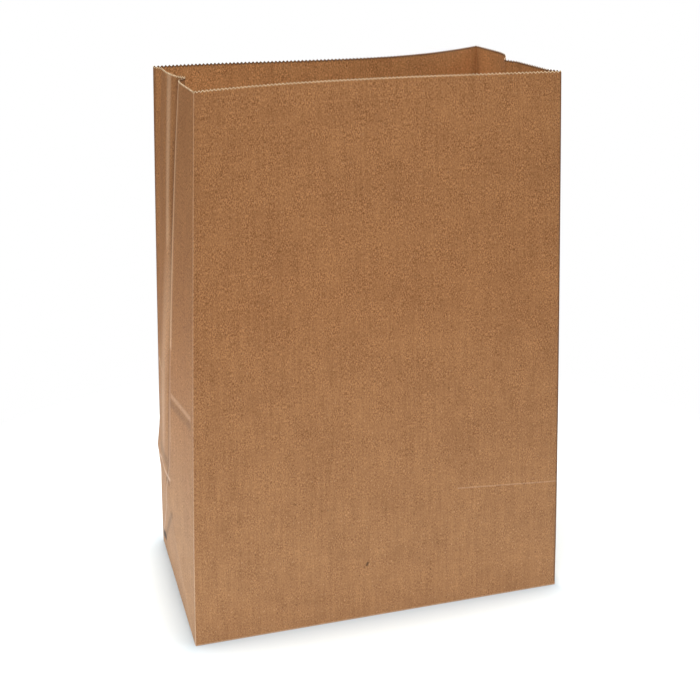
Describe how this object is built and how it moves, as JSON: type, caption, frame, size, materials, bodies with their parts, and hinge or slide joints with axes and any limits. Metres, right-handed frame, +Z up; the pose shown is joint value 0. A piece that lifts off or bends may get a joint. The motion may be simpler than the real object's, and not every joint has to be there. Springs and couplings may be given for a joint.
{
  "type": "paper bag",
  "caption": "Open brown kraft paper bag with folded sides, a flat glued bottom and a toothed mouth. It stands by itself and carries food or shopping.",
  "frame": {"origin": "middle of the flat bottom, on the surface that the bag stands on", "axes": "+Z up through the mouth, +X along the wide front panel, -Y towards the front panel"},
  "size_m": [0.3151, 0.18, 0.4318],
  "materials": {
    "kraft_paper": "uncoated brown kraft paper, matt, faint vertical grain"
  },
  "bodies": {
    "root": {"paper_bag": "kraft_paper"}
  },
  "joints": []
}
